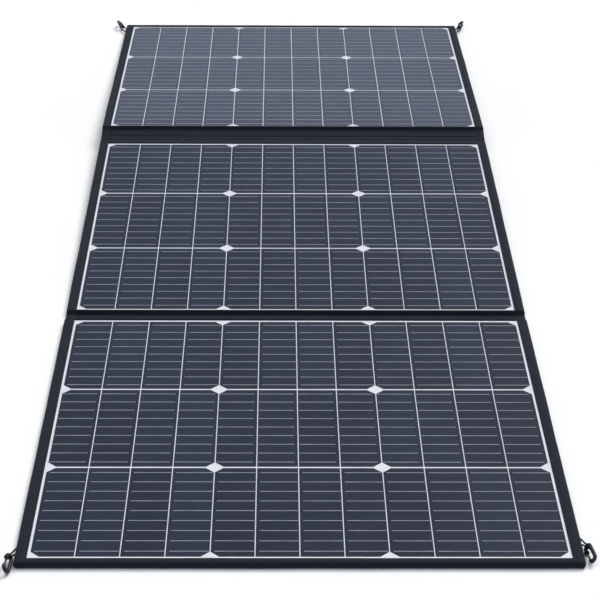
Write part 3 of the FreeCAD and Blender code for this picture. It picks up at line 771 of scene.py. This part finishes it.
def ribbon_grid(panel):
    mesh = Mesh()
    view = VIEWS[panel]
    for row in range(CELL_ROWS):
        short_left = row % 2 == 0
        for strip in range(STRIPS):
            left = strip_left(strip)
            x0 = left + (RIBBON_SHORT if short_left else RIBBON_INSET)
            x1 = left + STRIP_WIDTH - (RIBBON_INSET if short_left else RIBBON_SHORT)
            for ribbon in range(RIBBONS):
                y = (row - CELL_ROWS / 2) * ROW_PITCH + (ROW_PITCH - CELL_HEIGHT) / 2
                y += CELL_HEIGHT * (ribbon + 0.5) / RIBBONS
                rings = [
                    [
                        view @ (Vector((x, y + a * RIBBON_WIDTH, CELL_TOP + z * RIBBON_TOP)) * MM)
                        for a, z in RIBBON_PROFILE
                    ]
                    for x in (x0, x0 + RIBBON_TIP, x1 - RIBBON_TIP, x1)
                ]
                mesh.loft(rings)
    piece = flat_faces(mesh.build(f"{panel}_ribbons", ribbons))
    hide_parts(f"{panel}_front_film")
    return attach(piece, f"{panel}_panel")


for panel in VIEWS:
    cell_field(panel)
    ribbon_grid(panel)


# Corner loops: braided cord, sewn into the side seam and passed round the hook's end bar. A
# hook's gate pivot lies across and along the hook from the middle of that bar.

CORD_DIAMETER = 1.8
BIGHT_RADIUS = 3.1
LEG_HEIGHT = 3.5
ROOT_DEPTH = 0.3
PIVOT_ACROSS = 3.6
PIVOT_ALONG = 7.25
LOOP_ROOTS = {"near": (6, 18), "far": (9, 25)}


def smooth_line(points):
    """The points of a smooth curve that is steered by a few points, all in metres."""
    data = bpy.data.curves.new("route", "CURVE")
    data.dimensions = "3D"
    data.resolution_u = 24
    spline = data.splines.new("NURBS")
    spline.points.add(len(points) - 1)
    for place, point in zip(spline.points, points):
        place.co = (*point, 1)
    spline.order_u = 3
    spline.use_endpoint_u = True
    route = bpy.data.objects.new("route", data)
    line = [vertex.co.copy() for vertex in bpy.data.meshes.new_from_object(route).vertices]
    bpy.data.objects.remove(route)
    return line


def corner_loop(end, side_name):
    corner = f"{end}_{side_name}"
    view = VIEWS[end]
    neck = spot(f"{corner}_hook_swing")
    across = Vector(joints[f"{corner}_gate_swing"]["axis"]).normalized()
    to_bar_line = Matrix.Rotation(math.atan2(PIVOT_ACROSS, PIVOT_ALONG), 3, across)
    along = (to_bar_line @ (spot(f"{corner}_gate_swing") - neck)).normalized()
    place = view.inverted() @ (neck * MM) / MM
    edge = math.copysign(HALF_WIDTH - ROOT_DEPTH, neck.x)
    inward = 1 if end == "near" else -1
    seam_places = [Vector((edge, place.y + inward * back, LEG_HEIGHT)) for back in LOOP_ROOTS[end]]
    roots = [view @ (seam_place * MM) for seam_place in seam_places]
    sides = [(neck + across * BIGHT_RADIUS * s) * MM for s in (1, -1)]
    turn = along * BIGHT_RADIUS * MM
    route = [roots[0], roots[0].lerp(sides[0], 0.5), sides[0], sides[0] + turn]
    route += [sides[1] + turn, sides[1], roots[1].lerp(sides[1], 0.5), roots[1]]
    line = smooth_line(route)
    mesh = Mesh()
    mesh.braid(line, CORD_DIAMETER / 2 * MM, 24)
    piece = mesh.build(f"{corner}_cord_loop", cord_cloth)
    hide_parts(f"{corner}_loop")
    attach(piece, f"{end}_panel")


for end in ("near", "far"):
    for side_name in ("left", "right"):
        corner_loop(end, side_name)


# The pouch: a cloth bag sewn to the far panel's back, with a zip in its far wall.

POUCH_CORNER = 9.0
POUCH_CLOTH = 0.8
POUCH_TUCK = 1.2
POUCH_LIFT = 0.12
POUCH_GAP = 0.05
FAR_WALL = 4.0
ZIP_HALF_LENGTH = 125.0
ZIP_LOW, ZIP_HIGH = 3.0, 9.0
ZIP_RECESS = 1.3
ZIP_LEVELS = (ZIP_LOW - 0.1, ZIP_LOW + 0.1, 6.0, ZIP_HIGH - 0.1, ZIP_HIGH + 0.1)
WALL_LEVELS = (0.5, 1.3, 2.2, *ZIP_LEVELS, 10.4)
FLOOR_INSETS = (88.0, 60.0, 32.0, 12.0, 4.0, 1.2, 0.2)
TAPE_INNER, TAPE_OUTER = 0.75, 0.15
TOOTH_PITCH = 1.6
TOOTH_RADIUS = 0.42
TOOTH_LINE = ((-0.12, -0.5, -1.05), (-0.05, 0.02, -0.75), (0.05, 0.02, 0.75), (0.12, -0.5, 1.05))

pouch_low, pouch_high = node_box("pouch_shell")
far_end_y = far_crease.y + (CREASE + END) * math.cos(TILT)


def panel_back(y):
    return (far_end_y - y) * math.tan(TILT)


def pouch_outline(inset):
    """Places (x, y) round the pouch, inside its outer edge by an inset."""
    half_x = (pouch_high.x - pouch_low.x) / 2 - inset
    half_y = (pouch_high.y - pouch_low.y) / 2 - inset
    middle_y = (pouch_high.y + pouch_low.y) / 2
    radius = max(POUCH_CORNER - inset, 1.0)
    places = []
    corners = ((1, 1, 0), (-1, 1, 90), (-1, -1, 180), (1, -1, 270))
    for number, (side_x, side_y, first) in enumerate(corners):
        centre = Vector((side_x * (half_x - radius), side_y * (half_y - radius)))
        for step in range(7):
            angle = math.radians(first + 15 * step)
            places.append(centre + Vector((math.cos(angle), math.sin(angle))) * radius)
        next_x, next_y, angle = corners[(number + 1) % 4]
        goal = Vector((next_x * (half_x - radius), next_y * (half_y - radius)))
        goal += Vector((math.cos(math.radians(angle)), math.sin(math.radians(angle)))) * radius
        start = places[-1]
        count = 60 if first in (0, 180) else 30
        places += [start.lerp(goal, (n + 1) / (count + 1)) for n in range(count)]
    return [(place.x, middle_y + place.y) for place in places]


def pouch_wall_ring(level, inset):
    """The wall at a height above the ground, or under the panel if it is None."""
    ring = []
    centre_y = (pouch_low.y + pouch_high.y) / 2
    for x, y in pouch_outline(inset):
        top = panel_back(y) - POUCH_GAP
        z = top if level is None else min(level, top)
        unevenness = 0.6 + 0.4 * wobble(x, y, 31.0, 28.0)
        tuck = POUCH_TUCK * math.sin(math.pi * min(1, z / top)) * unevenness
        on_far_wall = y > pouch_high.y - FAR_WALL
        in_zip = abs(x) < ZIP_HALF_LENGTH and on_far_wall and ZIP_LOW < z < ZIP_HIGH
        if on_far_wall and abs(x) < ZIP_HALF_LENGTH + 4:
            tuck = 0.0
        share_x, share_y = x / pouch_high.x, (y - centre_y) / (pouch_high.y - centre_y)
        depth = tuck + (ZIP_RECESS if in_zip else 0)
        ring.append(Vector((x - tuck * share_x, y - depth * share_y, z)) * MM)
    return ring


def pouch_bag():
    mesh = Mesh()
    floor = []
    for inset in FLOOR_INSETS:
        puff = 0.1 if inset > 2 else 0
        floor.append(
            [
                Vector((x, y, POUCH_LIFT + puff * wobble(x, y, 33.0, 40.0))) * MM
                for x, y in pouch_outline(inset)
            ]
        )
    inside = [
        [Vector((x, y, POUCH_CLOTH + 0.1)) * MM for x, y in pouch_outline(max(inset, POUCH_CLOTH))]
        for inset in reversed(FLOOR_INSETS[:-2])
    ]
    outer = [pouch_wall_ring(level, 0.0) for level in (*WALL_LEVELS, None)]
    inner = [pouch_wall_ring(level, POUCH_CLOTH) for level in (None, *reversed(WALL_LEVELS[1:]))]
    mesh.loft(floor + outer + inner + inside)
    piece = crisp(mesh.build("pouch_bag", back_cloth), 60)
    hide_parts("pouch_shell")
    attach(piece, "far_panel")


def pouch_zip():
    mesh = Mesh()
    wall = pouch_high.y
    middle = (ZIP_LOW + ZIP_HIGH) / 2
    for low, high in ((ZIP_LOW - 0.05, middle - 0.3), (middle + 0.3, ZIP_HIGH + 0.05)):
        rings = []
        for step in range(81):
            x = ZIP_HALF_LENGTH * (step / 40 - 1)
            lift = 0.06 * wobble(x, low, 41.0, 20.0)
            inner, outer = wall - TAPE_INNER, wall - TAPE_OUTER
            section = ((inner, low), (outer, low), (outer + lift, high), (inner, high))
            rings.append([Vector((x, y, z)) * MM for y, z in section])
        mesh.loft(rings, 0)
    tooth_side, tooth_up = (Vector(axis) * TOOTH_RADIUS * MM for axis in ((1, 0, 0), (0, 1, 0)))
    for number in range(int(2 * ZIP_HALF_LENGTH / TOOTH_PITCH) - 2):
        x = -ZIP_HALF_LENGTH + (number + 1.5) * TOOTH_PITCH
        reach = 0.5 if number % 2 else -0.5
        rings = []
        for lean_x, y, z in TOOTH_LINE:
            place = Vector((x + lean_x, wall + y, middle + reach + z)) * MM
            rings.append(circle(place, tooth_side, 0.8 * tooth_up, 8))
        mesh.loft(rings, 1)
    piece = mesh.build("pouch_zip_coil", zip_cloth, coil_plastic)
    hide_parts("pouch_zip")
    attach(piece, "far_panel")


pouch_bag()
pouch_zip()


# Floor, light and camera. The floor is just under the ground plane, in metres.

FLOOR_HEIGHT = -0.0004


def stage():
    shader = Shader("floor", 0.9, Specular_IOR_Level=0.1)
    shader.colour(
        shader.colours(shader.noise(300, 2.0), (0.3, (0.93, 0.93, 0.93)), (0.7, (0.95, 0.95, 0.95)))
    )
    size = 12.0
    mesh = Mesh()
    corners = ((-1, -1), (1, -1), (1, 1), (-1, 1))
    mesh.points = [Vector((x * size, y * size, FLOOR_HEIGHT)) for x, y in corners]
    mesh.face((0, 1, 2, 3), 0)
    mesh.build("floor", shader.material)
    scene = bpy.context.scene
    scene.world = bpy.data.worlds.new("studio")
    scene.world.use_nodes = True
    tree = scene.world.node_tree
    height = tree.nodes.new("ShaderNodeSeparateXYZ")
    ramp = tree.nodes.new("ShaderNodeValToRGB")
    sky = ramp.color_ramp.elements
    sky[0].position = 0.30
    sky[0].color = (0.40, 0.46, 0.60, 1)
    sky[1].position = 0.92
    sky[1].color = (1, 0.99, 0.94, 1)
    for position in (0.40, 0.62):
        sky.new(position).color = (0.14, 0.18, 0.27, 1)
    tree.links.new(tree.nodes.new("ShaderNodeTexCoord").outputs["Generated"], height.inputs[0])
    tree.links.new(height.outputs["Z"], ramp.inputs[0])
    tree.links.new(ramp.outputs[0], tree.nodes["Background"].inputs["Color"])
    tree.nodes["Background"].inputs["Strength"].default_value = 1.15
    sun = bpy.data.lights.new("key", "SUN")
    sun.energy = 2.1
    sun.color = (1, 0.985, 0.95)
    sun.angle = math.radians(30)
    lamp = bpy.data.objects.new("key", sun)
    lamp.rotation_euler = Vector((0.55, 0.75, 0.95)).to_track_quat("Z", "Y").to_euler()
    scene.collection.objects.link(lamp)
    scene.view_settings.view_transform = "Standard"


def camera():
    data = bpy.data.cameras.new("camera")
    data.lens = 123.2
    data.sensor_width = 36
    viewer = bpy.data.objects.new("camera", data)
    pitch = math.radians(25.72)
    yaw = Matrix.Rotation(math.radians(-0.70), 3, "Z")
    ahead = yaw @ Vector((0, math.cos(pitch), -math.sin(pitch)))
    right = yaw @ Vector((1, 0, 0))
    up = right.cross(ahead)
    roll = math.radians(0.40)
    x_axis = right * math.cos(roll) + up * math.sin(roll)
    y_axis = up * math.cos(roll) - right * math.sin(roll)
    turn = Matrix((x_axis, y_axis, -ahead)).transposed()
    viewer.matrix_world = Matrix.Translation((-0.0220, -2.4477, 1.0755)) @ turn.to_4x4()
    bpy.context.scene.collection.objects.link(viewer)
    bpy.context.scene.camera = viewer


stage()
camera()
